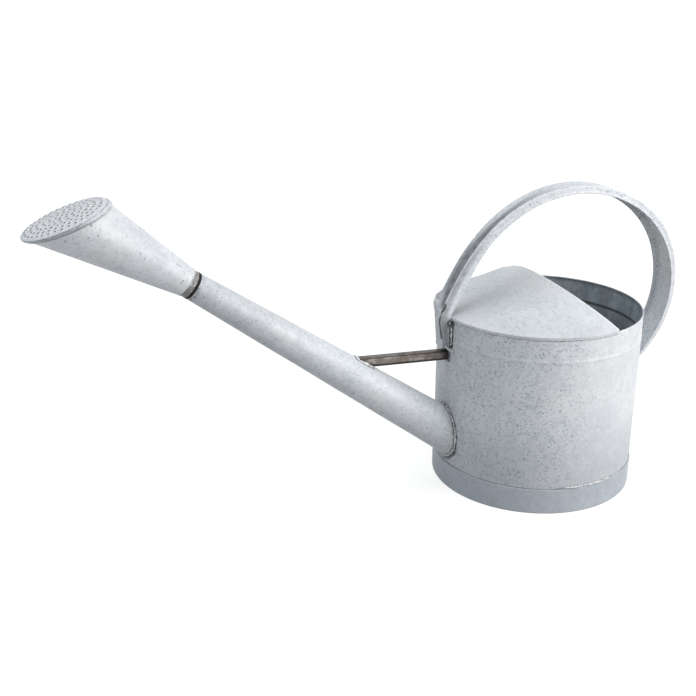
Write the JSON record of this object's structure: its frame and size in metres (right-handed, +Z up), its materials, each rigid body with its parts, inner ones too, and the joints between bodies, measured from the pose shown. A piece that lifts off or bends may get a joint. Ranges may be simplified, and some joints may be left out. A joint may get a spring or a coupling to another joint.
{
  "type": "watering can",
  "caption": "Long-reach watering can in galvanised sheet steel: round can, half hood, bowed channel handle, braced tapering spout and pull-off perforated rose.",
  "frame": {"origin": "centre of the foot ring on the ground plane", "axes": "+Z up, the spout points along -X and the handle bows out along +X, and Y = 0 is the plane of symmetry"},
  "size_m": [0.6924, 0.2224, 0.3487],
  "materials": {
    "zinc": "galvanised, satin, lightly mottled",
    "zinc_inside": "galvanised, dull",
    "solder": "bright solder, lumpy",
    "weld": "heat-tinted weld bead",
    "bare_steel": "darkened mill finish",
    "rubber": "matt black"
  },
  "bodies": {
    "can": {"body_wall": "zinc", "base_pan": "zinc_inside", "foot_ring": "zinc", "foot_solder_seam": "solder", "hood": "zinc", "handle": "zinc", "handle_front_solder": "solder", "handle_rear_solder": "solder", "spout": "zinc", "spout_weld": "weld", "brace": "bare_steel", "brace_wall_weld": "weld", "brace_spout_solder": "solder"},
    "seal": {"rose_seal": "rubber"},
    "rose": {"rose_neck": "zinc", "rose_neck_solder": "solder", "rose_cone": "zinc", "rose_band": "zinc", "rose_face": "zinc"}
  },
  "joints": [
    {"name": "rose_pull", "type": "slide", "parent": "can", "child": "seal", "axis": [-0.8111, 0, 0.585], "range_m": [0, 0.024]},
    {"name": "rose_twist", "type": "hinge", "parent": "seal", "child": "rose", "pos_m": [-0.39833, 0, 0.27287], "axis": [-0.8111, 0, 0.585], "continuous": true}
  ]
}
